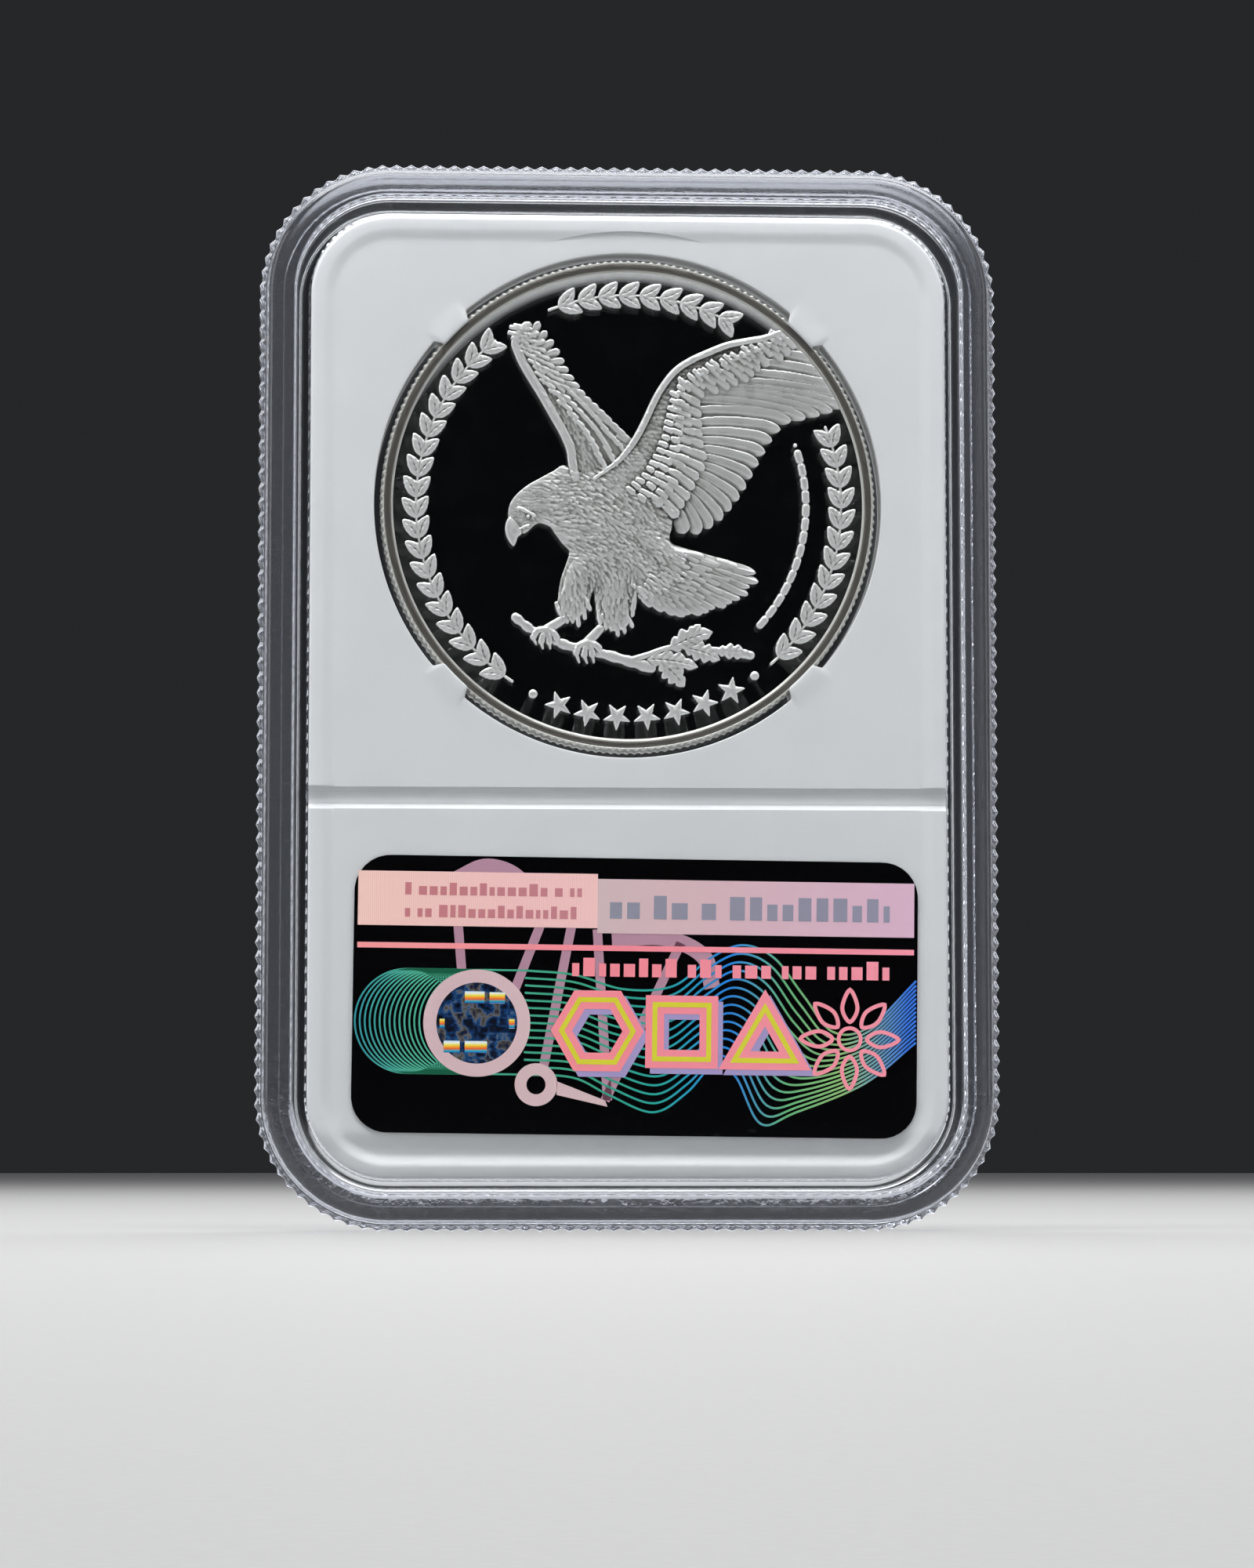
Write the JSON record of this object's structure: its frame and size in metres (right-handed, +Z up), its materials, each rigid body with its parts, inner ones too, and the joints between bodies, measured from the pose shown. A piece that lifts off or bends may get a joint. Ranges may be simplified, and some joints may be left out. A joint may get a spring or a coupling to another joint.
{
  "type": "graded coin slab",
  "caption": "Clear rigid slab with rounded corners and a serrated edge that holds a large reeded coin in a white pronged insert above a label chamber.",
  "frame": {"origin": "middle of the bottom edge, half way through the thickness", "axes": "+Z up the slab from the label end to the coin end, -Y out of the rear face, +Y out of the front face, X across the width"},
  "size_m": [0.0604, 0.008, 0.087],
  "materials": {
    "clear_shell": "polished clear rigid plastic",
    "white_insert": "satin white moulded plastic",
    "proof_silver": "mirror field with frosted relief",
    "hologram_film": "black film with iridescent foil lines",
    "label_card": "smooth printed card"
  },
  "bodies": {
    "root": {"rear_shell": "clear_shell", "front_shell": "clear_shell", "coin_insert": "white_insert", "coin": "proof_silver", "hologram_label": "hologram_film", "grade_label": "label_card"}
  },
  "joints": []
}
